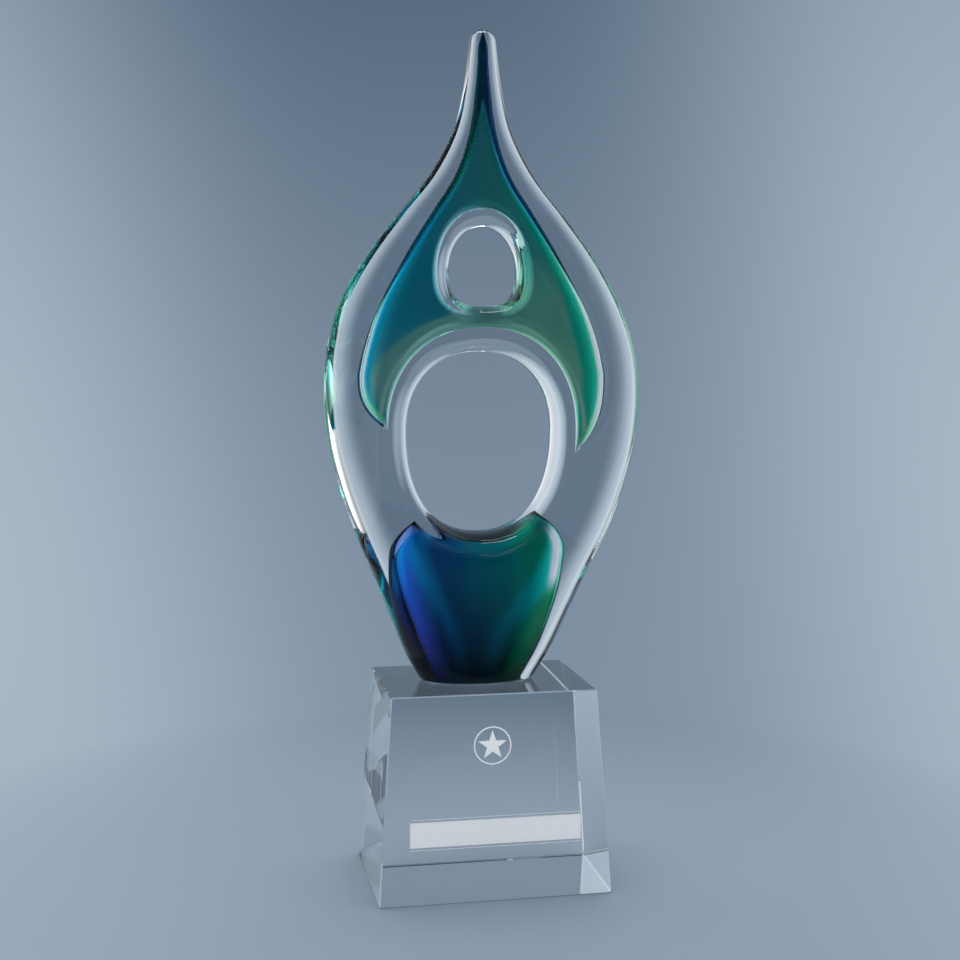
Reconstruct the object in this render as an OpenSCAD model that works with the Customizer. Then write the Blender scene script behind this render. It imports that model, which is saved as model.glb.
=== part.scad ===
// Art glass flame award.
// A clear, hand-gathered glass flame is pierced by two round-rimmed openings. Two coloured bodies are
// cased inside it: an arch with two legs above, and a heart below that is cut flat with the foot.
// Each coloured body is a thin coloured layer round a paler inner gather. The flame is bonded to a
// tapered crystal base that carries a shallow frosted bar on its front face.
// Width runs along X, depth along Y (the front faces -Y) and height along Z, in millimetres.

/* [Base block] */
// Width of the base block where it stands
base_w = 102; // [84:1:130]
// Depth of the base block where it stands
base_d = 74; // [62:1:100]
// Height of the base block
base_h = 89; // [70:1:120]
// How far the left and right faces each lean in over the full height
base_lean_x = 6; // [1:0.5:10]
// How far the front and back faces each lean in over the full height
base_lean_y = 4.7; // [1:0.1:8]
// Polished chamfer on every edge of the base block
base_chamfer = 0.5; // [0.3:0.1:2]

/* [Frosted bar] */
// Length of the frosted bar
bar_w = 75; // [40:1:76]
// Height of the frosted bar along the sloping face
bar_h = 11; // [6:0.5:14]
// Height of the middle of the bar above the foot of the sloping face
bar_mid = 30; // [20:1:50]
// Depth of the frosting
bar_deep = 0.3; // [0.2:0.05:0.8]
// Width of the engraved line above and below the bar
rule_w = 0.5; // [0.3:0.1:1]
// Clear space between the bar and each engraved line
rule_gap = 1; // [0.6:0.1:2]

/* [Bond] */
// Thickness of the clear adhesive film under the foot
film_t = 0.3; // [0.2:0.05:0.8]

/* [Flame] */
// Widest width of the flame
flame_w = 141.5; // [132:0.5:150]
// Thickest depth of the flame
flame_d = 31.5; // [28:0.5:36]
// Height of the flame from its foot to its tip
flame_h = 283.7; // [272:0.1:298]
// Height of the rounded end at the tip
tip_round = 4.5; // [3:0.5:6]
// Rounding of the ground edge round the foot
foot_round = 1.5; // [0.5:0.1:2.5]
// Sideways shift of the hand-shaped foot
foot_sway = -2; // [-3:0.5:3]
// Height over which the foot drifts back to the middle
sway_h = 45; // [30:1:60]
// Sideways swell of the body round the large opening
belly_sway = 1.4; // [0:0.1:2]

/* [Large opening] */
// Width of the large opening at its waist
large_w = 65.4; // [60:0.2:70]
// Height of the large opening
large_h = 79.4; // [74:0.2:84]
// Height of the bottom of the large opening above the foot
large_low = 66; // [62:0.5:70]
// Sideways shift of the large opening
large_shift = -1.1; // [-2:0.1:1]
// Rounding of the rim of the large opening
large_rim = 8; // [6.5:0.5:12]

/* [Small opening] */
// Width of the small opening at its waist
small_w = 30.6; // [26:0.2:34]
// Height of the small opening
small_h = 34.4; // [30:0.2:38]
// Height of the start of the slim neck above the small opening
neck_gap = 11; // [9:0.5:13]
// Rounding of the rim of the small opening
small_rim = 5.5; // [4.5:0.5:9]

/* [Upper colour] */
// Clear glass between the tip of the flame and the tip of the colour
tip_clear = 1; // [0.6:0.2:4]
// Height of the widest part of the upper colour above the foot
colour_h = 135; // [132:0.5:138]
// Width of each leg of the upper colour where it is widest
leg_w = 13; // [10:0.1:15]
// Clear glass before and behind the upper colour where it is widest
face_clear = 6.5; // [5:0.5:8]
// Clear glass between the large opening and the coloured arch
arch_gap = 8.7; // [8:0.1:10]
// Further clear glass over the top of the large opening
arch_lift = 1.3; // [0:0.1:2]
// Clear glass between the small opening and the colour round it
ring_gap = 4.8; // [4:0.1:5.5]
// Further clear glass over the top of the small opening
ring_lift = 2.2; // [0:0.1:3]
// Rounding of the edges of the upper colour
upper_rim = 8; // [6:0.5:10]
// How far the left leg reaches down below the widest part
left_leg = 24; // [16:0.5:30]
// How far the right leg reaches down below the widest part
right_leg = 34.5; // [26:0.5:38]
// Thickness of the coloured layer over the upper gather
upper_layer = 1.2; // [0.9:0.1:1.6]
// Upper gather left in the bridge between the two openings
bridge_core = 2.6; // [0.9:0.1:4]
// Coloured glass between the tip of the upper gather and the tip of the colour
inner_clear = 26.2; // [20:0.1:32]

/* [Lower colour] */
// Clear glass between the large opening and the top of the heart
heart_gap = 7; // [6:0.1:9]
// Width across the two shoulders of the heart
shoulder_w = 57.6; // [52:0.2:62]
// Clear glass beside the heart at the foot
foot_clear = 7; // [6:0.1:9]
// Clear glass before and behind the heart
front_clear = 5; // [4:0.1:6.5]
// Rounding of the top edge of the heart
heart_rim = 10; // [8:0.5:12]
// How far the heart leans to the left from its top to its foot
heart_lean = 2.9; // [0:0.1:3.5]
// Thickness of the coloured layer over the lower gather
lower_layer = 1.6; // [1.2:0.1:2]

/* [Hidden] */
eps = 0.001;
foot_z = base_h + film_t;

// Half-width of the flame: percent of the height against percent of half its widest width
flame_side = [[0, 35.7], [5, 47.5], [10, 56.5], [17, 68.7], [24, 81.5], [31, 91.3], [38, 98], [45, 100],
              [52, 97.5], [59, 88.5], [66, 72.4], [73, 51.2], [79, 31.5], [85, 18.4], [91, 12.2], [97, 8.8],
              [100, 7.3]];
// Half-depth of the flame on its middle line, as percent of half its thickest depth
flame_edge = [[0, 96], [9, 98], [20, 100], [32, 100], [44, 95], [57, 80], [67, 61], [76, 46], [83, 36],
              [91, 31], [97, 27], [100, 24]];
// Upper colour's share of the flame's width, against percent of the way from its widest part to its tip
arch_side = [[0, 100], [18, 93.5], [30, 87.8], [42, 82.2], [50, 76.5], [58, 67], [66, 59.8], [74, 54],
             [83, 47], [91, 40], [97, 32], [100, 0]];
// Upper colour's share of the flame's depth over the same span, and down its legs
arch_edge = [[-25, 85], [-10, 96], [0, 100], [30, 106], [50, 104], [66, 96], [83, 68], [91, 55], [97, 38],
             [100, 0]];
// Upper gather's share of the colour's width, against percent of the way up to the gather's own tip
inner_share = [[-30, 94], [0, 97], [40, 96], [62, 88], [74, 79], [85, 62], [93, 41], [100, 0]];
// How far the heart's side has turned in from the flame's side to its shoulder, against its height
heart_turn = [[0, 0], [30, 0], [40, 3.5], [56, 12.5], [72, 28.5], [86, 50], [94, 75], [100, 100]];

function clamp01(v) = min(max(v, 0), 1);
// Share of the full thickness at distance s from an edge that is rounded over the width r
function round_off(s, r) = sqrt(1 - pow(1 - clamp01(s / r), 2.5));

// A smooth curve through the rows of a table, as a cubic between each two rows
function rise(tab, i) = (tab[i + 1][1] - tab[i][1]) / (tab[i + 1][0] - tab[i][0]);
function slope(tab, i) =
  i == 0 ? rise(tab, 0) :
  i == len(tab) - 1 ? rise(tab, i - 1) :
  let (a = tab[i][0] - tab[i - 1][0], b = tab[i + 1][0] - tab[i][0])
  (rise(tab, i) * a + rise(tab, i - 1) * b) / (a + b);
function smooth(tab, v) =
  let (
    n = len(tab),
    u = min(max(v, tab[0][0]), tab[n - 1][0]),
    i = min(max(len([for (r = tab) if (r[0] < u) 1]) - 1, 0), n - 2),
    d = tab[i + 1][0] - tab[i][0],
    t = (u - tab[i][0]) / d
  )
  (2 * t * t * t - 3 * t * t + 1) * tab[i][1] + (t * t * t - 2 * t * t + t) * d * slope(tab, i)
  + (3 * t * t - 2 * t * t * t) * tab[i + 1][1] + (t * t * t - t * t) * d * slope(tab, i + 1);

// The bridge between the openings holds both clear rims, the coloured layer twice and the gather
bridge_h = arch_gap + arch_lift + ring_gap + 2 * upper_layer + bridge_core;
// An opening is [height of its widest point, half-width, rise above, drop below, squareness above, below,
// shift to the side]
large = [large_low + 0.56 * large_h, large_w / 2, 0.44 * large_h, 0.56 * large_h, 2.2, 2.3, large_shift];
small = [large_low + large_h + bridge_h + 0.41 * small_h, small_w / 2, 0.59 * small_h, 0.41 * small_h,
         2.05, 2.7, 0];
function grown(o, g, lift = 0, shift = 0) =
  [o[0], o[1] + g, o[2] + g + lift, o[3] + g, min(o[4], 2.2), min(o[5], 2.5), shift];
// How far out a point lies, as a multiple of the opening's own edge in that direction
function reach(o, p) =
  let (x = abs((p[0] - o[6]) / o[1]), h = p[1] - o[0], z = abs(h > 0 ? h / o[2] : h / o[3]), n = h > 0 ? o[4] : o[5])
  pow(pow(x, n) + pow(z, n), 1 / n);
// The point of the edge that lies in the direction of p
function edge_point(o, p) =
  let (k = reach(o, p)) [o[6] + (p[0] - o[6]) / k, o[0] + (p[1] - o[0]) / k];
// Distance of p outside the edge, along the line to the middle of the opening
function outside(o, p) = let (k = reach(o, p)) norm([p[0] - o[6], p[1] - o[0]]) * (1 - 1 / k);

// Where a height lies on the flame's outline, in percent. The neck above the openings takes up a change
// of the flame's height, and the body below it follows the openings.
neck_h = small[0] + small[2] + neck_gap;
neck_share = 74.8;
function outline(h) = h < neck_h ? neck_share * h / neck_h
                                 : neck_share + (100 - neck_share) * (h - neck_h) / (flame_h - neck_h);
// The flame's own outline and thickness; heights start at its foot
belly_h = large[0] - 6.5;
belly_reach = 0.94 * large_low;
function sway(h) = foot_sway * pow(clamp01(1 - h / sway_h), 1.2)
  + belly_sway * pow(1 - pow(clamp01(abs(h - belly_h) / belly_reach), 4), 2);
function tip_end(h) = sqrt(1 - pow(clamp01((h - flame_h + tip_round) / tip_round), 2));
function foot_end(h) = foot_round * (1 - sqrt(1 - pow(1 - clamp01(h / foot_round), 2)));
function flame_x(h) = flame_w / 200 * smooth(flame_side, outline(h)) * tip_end(h) - foot_end(h);
function flame_y(h) = flame_d / 200 * smooth(flame_edge, outline(h)) * tip_end(h) - foot_end(h);
// Fullness of a lens-shaped section across its width
function lens(x, w) = sqrt(1 - pow(clamp01(abs(x) / max(w, eps)), 2.3));
flame_t = function (p) flame_y(p[1]) * lens(p[0] - sway(p[1]), flame_x(p[1]))
  * round_off(outside(large, p), large_rim) * round_off(outside(small, p), small_rim);

// Nodes spread across a section, closer together near its edges
function across(n) = [for (k = [-n:n]) sin(90 * k / n)];
function along(m) = [for (j = [0:m]) (1 - cos(180 * j / m)) / 2];
// A grid round an opening, from its edge out to a closed boundary
function ring_grid(o, boundary, m) =
  [for (t = along(m)) [for (p = boundary) let (q = edge_point(o, p)) q + (p - q) * t]];

// Every grid is lifted to the front and to the back by the half-thickness t, and the two are joined
function facing(a, b, c) = (b[0] - a[0]) * (c[2] - a[2]) - (b[2] - a[2]) * (c[0] - a[0]);
function wound(a, b, c, s) =
  let (f = facing(a, b, c)) abs(f) < 1e-9 ? [] : [s * f < 0 ? [a, b, c] : [a, c, b]];
function lift(p, t, s) = let (y = t(p)) [p[0], y < eps ? 0 : s * y, p[1]];
function lifted(g, t, s) = [for (r = g) [for (p = r) lift(p, t, s)]];
// Each cell is split along the diagonal that stands further out, so that the skin stays full
function split(a, b, c, d, s) =
  abs(a[1] + c[1]) >= abs(b[1] + d[1]) ? concat(wound(a, b, c, s), wound(a, c, d, s))
                                       : concat(wound(a, b, d, s), wound(b, c, d, s));
function skin(g, t, s) =
  let (q = lifted(g, t, s))
  [for (i = [0:len(q) - 2]) for (j = [0:len(q[0]) - 2])
    each split(q[i][j], q[i][j + 1], q[i + 1][j + 1], q[i + 1][j], -s)];
// A flat face under a solid, between its front and back lower edges
function flat_under(r, t) =
  let (n = len(r), f = [for (p = r) lift(p, t, -1)], b = [for (p = r) lift(p, t, 1)])
  [for (k = [0:n - 2]) each concat(k == 0 ? [] : [[f[k], f[k + 1], b[k]]],
                                   k == n - 2 ? [] : [[f[k + 1], b[k + 1], b[k]]])];
module blown(grids, t, under = []) {
  faces = concat([for (g = grids) each concat(skin(g, t, -1), skin(g, t, 1))], under);
  polyhedron(points = [for (f = faces) each f],
             faces = [for (i = [0:len(faces) - 1]) [3 * i, 3 * i + 1, 3 * i + 2]], convexity = 12);
}

// Clear casing: a neck, a grid round each opening and a foot, joined along three level lines
waist_h = large[0] + large[2] + bridge_h / 2;
ankle_h = large_low / 2;
cols = 6;
waist_cols = 9;
function flame_row(h, n = cols) = [for (f = across(n)) [sway(h) + f * flame_x(h), h]];
function flame_side_down(h1, h0, n, s) =
  [for (k = [1:n - 1]) let (h = h1 + (h0 - h1) * k / n) [sway(h) + s * flame_x(h), h]];
function backwards(r) = [for (k = [len(r) - 1:-1:0]) r[k]];
// A closed belt of flame: its top row, right side, bottom row and left side
function belt(h1, n1, h0, n0, n) =
  concat(flame_row(h1, n1), flame_side_down(h1, h0, n, 1), backwards(flame_row(h0, n0)),
         backwards(flame_side_down(h1, h0, n, -1)), [flame_row(h1, n1)[0]]);
neck_rows = [for (t = [0:9]) neck_h + (flame_h - tip_round - neck_h) * t / 9];
tip_rows = [for (a = [25, 45, 65, 80, 90]) flame_h - tip_round + tip_round * sin(a)];
foot_rows = concat([for (a = [0, 30, 60, 90]) foot_round * (1 - cos(a))],
                   [for (t = [1:4]) foot_round + (ankle_h - foot_round) * t / 4]);
module flame_form() {
  foot = [for (h = foot_rows) flame_row(h)];
  blown([[for (h = concat(neck_rows, tip_rows)) flame_row(h)],
         ring_grid(small, belt(neck_h, cols, waist_h, waist_cols, 9), 8),
         ring_grid(large, belt(waist_h, waist_cols, ankle_h, cols, 17), 8),
         foot], flame_t, flat_under(foot[0], flame_t));
}

// Upper colour: k is 0 for the outside of the colour and 1 for the gather inside it
colour_top = flame_h - tip_clear;
inner_tip = colour_top - inner_clear;
function arch(k) = grown(large, arch_gap + k * upper_layer, arch_lift);
function halo(k) = grown(small, ring_gap + k * upper_layer, ring_lift);
function edge_at(o, h) =
  let (z = abs(h > o[0] ? (h - o[0]) / o[2] : (h - o[0]) / o[3]), n = h > o[0] ? o[4] : o[5])
  o[1] * pow(max(1 - pow(z, n), 0), 1 / n);
// How far up the outline a height lies between the colour's widest part and a tip, in percent
function part_way(h, tip) = 100 * (outline(h) - outline(colour_h)) / (outline(tip) - outline(colour_h));
function share(h, k) =
  k == 0 ? 1 : smooth(inner_share, part_way(h, inner_tip)) / 100;
// A leg's outline curls in below the widest part until it meets the arch
function leg(k, s) = (s < 0 ? left_leg : right_leg) - k * 2.5 * upper_layer;
function leg_end(k, s) = edge_at(arch(k), colour_h - leg(k, s));
function above_x(h, k) = flame_x(h) * (large_w / 2 + arch_gap + leg_w) / flame_x(colour_h)
  * smooth(arch_side, part_way(h, colour_top)) / 100 * share(h, k);
function colour_x(h, k, s) =
  h >= colour_h ? above_x(h, k) :
  let (w = above_x(colour_h, k)) w - (w - leg_end(k, s)) * pow(clamp01((colour_h - h) / leg(k, s)), 2.8);
function colour_y(h, k) = flame_y(h) * (1 - face_clear / flame_y(colour_h))
  * smooth(arch_edge, part_way(h, colour_top)) / 100
  * (k == 0 ? 1 : share(h, k) * (1 - 1.1 * upper_layer / (flame_y(colour_h) - face_clear)));
function upper_t(k) = function (p)
  colour_y(p[1], k) * lens(p[0], colour_x(p[1], k, p[0]))
  * round_off(outside(arch(k), p), upper_rim) * round_off(outside(halo(k), p), upper_rim);
throat_h = halo(1)[0] + halo(1)[2] + 1.7;
leg_top = large[0] + large[2];
function colour_row(h, k) = [for (f = across(4)) [f * colour_x(h, k, f), h]];
function leg_row(h, k, s) =
  let (a = s * colour_x(h, k, s), b = s * edge_at(arch(k), h)) [for (t = along(4)) [a + (b - a) * t, h]];
function colour_side_down(k, s) =
  [for (j = [1:9]) let (h = throat_h + (leg_top - throat_h) * j / 10) [s * colour_x(h, k, s), h]];
// The arch from the right leg over the top to the left leg, at even steps of direction
function arch_run(k) =
  let (o = arch(k), x = edge_at(o, leg_top), a = atan2(leg_top - o[0], x))
  [for (j = [1:13]) let (b = a + (180 - 2 * a) * j / 14) edge_point(o, [cos(b), o[0] + sin(b)])];
function colour_belt(k) = concat(colour_row(throat_h, k), colour_side_down(k, 1), leg_row(leg_top, k, 1),
                                 arch_run(k), backwards(leg_row(leg_top, k, -1)),
                                 backwards(colour_side_down(k, -1)), [colour_row(throat_h, k)[0]]);
module upper_form(k) {
  top = k == 0 ? colour_top : inner_tip;
  blown(concat(
    [[for (t = [0:9]) colour_row(throat_h + (top - throat_h) * t / 9, k)]],
    [ring_grid(halo(k), colour_belt(k), 6)],
    [for (s = [-1, 1]) [for (t = [0, 0.25, 0.5, 0.7, 0.85, 0.95, 1])
      leg_row(leg_top + (colour_h - leg(k, s) - leg_top) * t, k, s)]]
  ), upper_t(k));
}

// Lower colour: its top follows the large opening and its bottom is cut flat with the foot
function brow(k) = grown(large, heart_gap + k * lower_layer, 0, large_shift);
function under_brow(x, k) =
  let (o = brow(k)) o[0] - o[3] * pow(1 - pow(abs(x - o[6]) / o[1], o[5]), 1 / o[5]);
function shoulder(k) = let (x = shoulder_w / 2 - k * lower_layer) [x, under_brow(x + large_shift, k)];
// The heart's middle line leans away from the opening's middle towards the foot
function heart_mid(h, k) = large_shift - heart_lean * (1 - pow(clamp01(h / shoulder(k)[1]), 2));
// The side keeps a clear wall beside it at the foot, and turns in to the shoulder higher up
function heart_side(h, k) = flame_x(max(h, foot_round)) - foot_clear - k * lower_layer;
function heart_x(h, k) =
  let (p = shoulder(k), w = heart_side(h, k), turn = smooth(heart_turn, 100 * h / p[1]) / 100)
  w * (1 - turn * (1 - p[0] / heart_side(p[1], k)));
function heart_y(h, k) = flame_y(max(h, foot_round)) - front_clear - k * lower_layer;
function heart_t(k) = function (p)
  heart_y(p[1], k) * lens(p[0] - heart_mid(p[1], k), heart_x(p[1], k)) * round_off(outside(brow(k), p), heart_rim);
// Rows bend from the flat cut at the foot up to the hollow curve under the opening
function heart_row(v, k) =
  let (p = shoulder(k), h = max(v, 0) * p[1], w = heart_x(h, k), bend = pow(max(v, 0), 1.5))
  [for (f = across(6)) [heart_mid(h, k) + f * w,
                        v < 0 ? v : h - bend * (p[1] - under_brow(large_shift + f * p[0], k))]];
module heart_form(k, below = 0) {
  rows = concat(below > 0 ? [heart_row(-below, k)] : [],
                [for (v = [0, 0.12, 0.25, 0.39, 0.53, 0.66, 0.78, 0.87, 0.94, 0.98, 1]) heart_row(v, k)]);
  blown([rows], heart_t(k), flat_under(rows[0], heart_t(k)));
}

// A tapered block of which every edge is cut by a chamfer of size c
function cut_corner(w, d, c) = [[w - c, -d], [w, c - d], [w, d - c], [w - c, d],
                                [c - w, d], [-w, d - c], [-w, c - d], [c - w, -d]];
module tapered_block(w, d, h, lean_x, lean_y, c) {
  rings = [for (r = [[0, c], [c, 0], [h - c, 0], [h, c]])
    [for (p = cut_corner(w / 2 - lean_x * r[0] / h - r[1], d / 2 - lean_y * r[0] / h - r[1], c))
      [p[0], p[1], r[0]]]];
  n = 8;
  polyhedron(points = [for (r = rings) each r],
             faces = concat([[for (i = [0:n - 1]) i]], [[for (i = [n - 1:-1:0]) 3 * n + i]],
                            [for (j = [0:2]) for (i = [0:n - 1])
                              [j * n + i, (j + 1) * n + i, (j + 1) * n + (i + 1) % n, j * n + (i + 1) % n]]),
             convexity = 2);
}
// Places its children on the sloping front face, with Y up the face and Z out of it
module on_front_face() {
  translate([0, -base_d / 2, 0]) rotate([90 - atan2(base_lean_y, base_h), 0, 0]) children();
}
module engraved_slot(w, h, y) {
  translate([-w / 2, y - h / 2, -bar_deep]) cube([w, h, 2 * bar_deep]);
}

module base_block() {
  color("lightsteelblue", 0.35)
  difference() {
    tapered_block(base_w, base_d, base_h, base_lean_x, base_lean_y, base_chamfer);
    on_front_face() {
      engraved_slot(bar_w, bar_h, bar_mid);
      for (s = [-1, 1]) engraved_slot(bar_w, rule_w, bar_mid + s * (bar_h / 2 + rule_gap));
    }
  }
}
module bond_film() {
  row = flame_row(0);
  color("lightcyan", 0.5)
  translate([0, 0, base_h])
    linear_extrude(film_t)
      polygon(concat([for (p = row) [p[0], lift(p, flame_t, -1)[1]]],
                     [for (p = backwards(row)) if (flame_t(p) > eps) [p[0], flame_t(p)]]));
}
module clear_casing() {
  color("white", 0.3)
  translate([0, 0, foot_z])
    difference() {
      flame_form();
      upper_form(0);
      heart_form(0, 1);
    }
}
module upper_color_layer() {
  color("teal", 0.7)
  translate([0, 0, foot_z])
    difference() {
      upper_form(0);
      upper_form(1);
    }
}
module upper_inner_gather() {
  color("cadetblue", 0.7)
  translate([0, 0, foot_z]) upper_form(1);
}
module lower_color_layer() {
  color("navy", 0.8)
  translate([0, 0, foot_z])
    difference() {
      heart_form(0);
      heart_form(1, 1);
    }
}
module lower_inner_gather() {
  color("seagreen", 0.8)
  translate([0, 0, foot_z]) heart_form(1);
}

base_block();
bond_film();
clear_casing();
upper_color_layer();
upper_inner_gather();
lower_color_layer();
lower_inner_gather();
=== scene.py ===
"""Looks of the flame award: cased art glass on a tapered crystal base.

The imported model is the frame. The flame's pieces are worked out in millimetres from the flame's foot, and the
frosting from the base's underside, as functions on a grid or as outlines carried through a thickness. Each is
written to its mesh in metres, in the frame's own place.
"""
import bpy
import math
import numpy as np
from collections import namedtuple
from mathutils import Matrix, Vector


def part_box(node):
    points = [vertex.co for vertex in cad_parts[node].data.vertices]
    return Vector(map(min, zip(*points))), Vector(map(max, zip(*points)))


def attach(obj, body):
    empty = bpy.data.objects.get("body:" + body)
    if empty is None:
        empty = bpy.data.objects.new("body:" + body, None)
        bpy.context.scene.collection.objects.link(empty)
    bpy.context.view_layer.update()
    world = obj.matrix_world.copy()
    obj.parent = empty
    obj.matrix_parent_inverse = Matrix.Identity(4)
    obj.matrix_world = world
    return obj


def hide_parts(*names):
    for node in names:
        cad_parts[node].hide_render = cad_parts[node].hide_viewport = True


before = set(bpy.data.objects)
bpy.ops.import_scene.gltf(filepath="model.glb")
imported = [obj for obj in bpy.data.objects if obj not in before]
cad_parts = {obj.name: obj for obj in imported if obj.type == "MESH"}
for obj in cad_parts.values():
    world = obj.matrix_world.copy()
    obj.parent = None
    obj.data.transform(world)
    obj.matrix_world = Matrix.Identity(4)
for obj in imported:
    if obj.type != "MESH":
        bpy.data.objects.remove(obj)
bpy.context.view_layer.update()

# ---------------------------------------------------------------- sizes, in millimetres
CASING = np.array(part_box("clear_casing")) * 1000
BASE = np.array(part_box("base_block")) * 1000
FOOT_Z = CASING[0][2]

# the flame's outline, and how far its middle line strays
FLAME_H = CASING[1][2] - FOOT_Z
FLAME_W, FLAME_D = 141.5, 31.5
TIP_ROUND, FOOT_ROUND, NECK_GAP, NECK_SHARE = 4.5, 1.5, 11.0, 74.8
FOOT_SWAY, SWAY_H, SWAY_EASE = -2.0, 45.0, 1.2
BELLY_SWAY, BELLY_H, BELLY_REACH, BELLY_EASE = 1.4, 104.0, 62.0, 4
LENS_POWER, ROLL_POWER = 2.3, 2.5

# the openings
LARGE_FOOT, LARGE_H, LARGE_W, LARGE_RIM = 66.0, 79.4, 65.4, 8.0
BRIDGE, SMALL_H, SMALL_W, SMALL_RIM = 19.8, 34.4, 30.6, 5.5
ROUNDER_TOP, ROUNDER_FOOT = 2.2, 2.5

# the upper colour; the two steps from the colour to the gather inside it are in layers
LEG_W, FACE_CLEAR, COLOUR_H, TIP_CLEAR, INNER_CLEAR = 13.0, 6.5, 135.0, 1.0, 26.2
ARCH_GAP, ARCH_LIFT, RING_GAP, RING_LIFT, UPPER_RIM = 8.7, 1.3, 4.8, 2.2, 8.0
LEFT_LEG, RIGHT_LEG, LEG_CURL, UPPER_LAYER = 24.0, 34.5, 2.8, 1.2
LEG_STEP, DEPTH_STEP, COLOUR_SPAN = 2.5, 1.1, 56.0

# the heart
HEART_GAP, SHOULDER_W, FOOT_CLEAR, FRONT_CLEAR = 7.0, 57.6, 7.0, 5.0
HEART_RIM, LOWER_LAYER, HEART_LEAN, ROW_BEND = 10.0, 1.6, 2.9, 1.5
COLOUR_CUT, GATHER_CUT = 0.15, 0.3

# the film, and the frosting on the base's front
FILM_SHARE, FILM_SINK = 0.985, 0.05
BASE_D, LEAN_Y = 74.0, 4.7
BAR_W, BAR_H, BAR_MID, BAR_DEEP, BAR_PLAY, BAR_SINK, BAR_RISE = 75.0, 11.0, 30.0, 0.3, 0.1, 0.02, 0.05
RULE_W, RULE_GAP, MARK_SINK, MARK_RISE = 0.5, 1.0, 0.03, 0.02
STAR_U, STAR_V, STAR_R, RING_LINE, STAR_SHARE, STAR_WAIST = -1.4, 67.0, 8.2, 0.55, 0.8, 0.4

# where the grids meet, and how fine they are
WAIST_GAP, ANKLE_H, THROAT_GAP = 9.0, 33.0, 1.7
DENSE = 3

# front and back meet where half the thickness is under a seal, a triangle with twice its area under a sliver
# is left out, a pointed end draws in all that is nearer than a point, other points merge to these decimals
SEAL, SLIVER, POINT, DECIMALS, TINY = 1e-3, 1e-7, 0.12, 4, 1e-6

# rows of a place up an outline and of a width, a share or a turn there, all in percent
FLAME_SIDE = ((0, 35.7), (5, 47.5), (10, 56.5), (17, 68.7), (24, 81.5), (31, 91.3), (38, 98), (45, 100),
              (52, 97.5), (59, 88.5), (66, 72.4), (73, 51.2), (79, 31.5), (85, 18.4), (91, 12.2), (97, 8.8),
              (100, 7.3))
FLAME_EDGE = ((0, 96), (9, 98), (20, 100), (32, 100), (44, 95), (57, 80), (67, 61), (76, 46), (83, 36),
              (91, 31), (97, 27), (100, 24))
ARCH_SIDE = ((0, 100), (18, 93.5), (30, 87.8), (42, 82.2), (50, 76.5), (58, 67), (66, 59.8), (74, 54),
             (83, 47), (91, 40), (97, 32), (100, 0))
ARCH_EDGE = ((-25, 85), (-10, 96), (0, 100), (30, 106), (50, 104), (66, 96), (83, 68), (91, 55), (97, 38),
             (100, 0))
INNER_SHARE = ((-30, 94), (0, 97), (40, 96), (62, 88), (74, 79), (85, 62), (93, 41), (100, 0))
HEART_TURN = ((0, 0), (30, 0), (40, 3.5), (56, 12.5), (72, 28.5), (86, 50), (94, 75), (100, 100))


# ---------------------------------------------------------------- curves and sections
def smooth(table, v):
    """Cubic through the table's rows: each row's slope is the mean of its two spans' slopes, each
    weighted by the other span's length, and an end row takes its one span's slope."""
    x, y = np.array(table, float).T
    step, rise = np.diff(x), np.diff(y) / np.diff(x)
    slope = np.concatenate([rise[:1], (rise[1:] * step[:-1] + rise[:-1] * step[1:]) / (x[2:] - x[:-2]),
                            rise[-1:]])
    u = np.clip(v, x[0], x[-1])
    i = np.clip(np.searchsorted(x, u) - 1, 0, len(x) - 2)
    d = step[i]
    t = (u - x[i]) / d
    return ((2 * t ** 3 - 3 * t ** 2 + 1) * y[i] + (t ** 3 - 2 * t ** 2 + t) * d * slope[i]
            + (3 * t ** 2 - 2 * t ** 3) * y[i + 1] + (t ** 3 - t ** 2) * d * slope[i + 1])


def round_off(s, r):
    """Share of the full thickness at a distance s from an edge that rolls over within the width r: a quarter
    of a superellipse."""
    return np.sqrt(1 - (1 - np.clip(s / r, 0, 1)) ** ROLL_POWER)


def lens(x, w):
    """Fullness of a lens-shaped section across its half-width: a half superellipse."""
    return np.sqrt(1 - np.clip(np.abs(x) / np.maximum(w, TINY), 0, 1) ** LENS_POWER)


# An opening is two half superellipses: the height of its widest point, its half-width, its rise above and its
# drop below that point, the power of each half, and its shift to the side.
Opening = namedtuple("Opening", "mid half rise drop top_power foot_power shift")


def opening(foot, height, width, above, below, top_power, foot_power, shift=0.0):
    """An opening from its lowest point. Above and below share out its height round the widest point."""
    return Opening(foot + below * height, width / 2, above * height, below * height, top_power, foot_power,
                   shift)


LARGE = opening(LARGE_FOOT, LARGE_H, LARGE_W, above=0.44, below=0.56, top_power=2.2, foot_power=2.3,
                shift=-1.1)
SMALL = opening(LARGE_FOOT + LARGE_H + BRIDGE, SMALL_H, SMALL_W, above=0.59, below=0.41, top_power=2.05,
                foot_power=2.7)


def grown(o, g, lift=0.0, shift=0.0):
    """An opening with its edge moved out by g and its top lifted, no squarer than the two rounder powers."""
    return Opening(o.mid, o.half + g, o.rise + g + lift, o.drop + g, min(o.top_power, ROUNDER_TOP),
                   min(o.foot_power, ROUNDER_FOOT), shift)


def up_or_down(o, h):
    """How far a height lies from an opening's widest point, as a share of the rise or the drop, and the power
    of that half."""
    up = h > o.mid
    return np.abs((h - o.mid) / np.where(up, o.rise, o.drop)), np.where(up, o.top_power, o.foot_power)


def reach(o, x, h):
    """How far out a point lies, as a multiple of the opening's own edge."""
    z, n = up_or_down(o, h)
    return (np.abs((x - o.shift) / o.half) ** n + z ** n) ** (1 / n)


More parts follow.
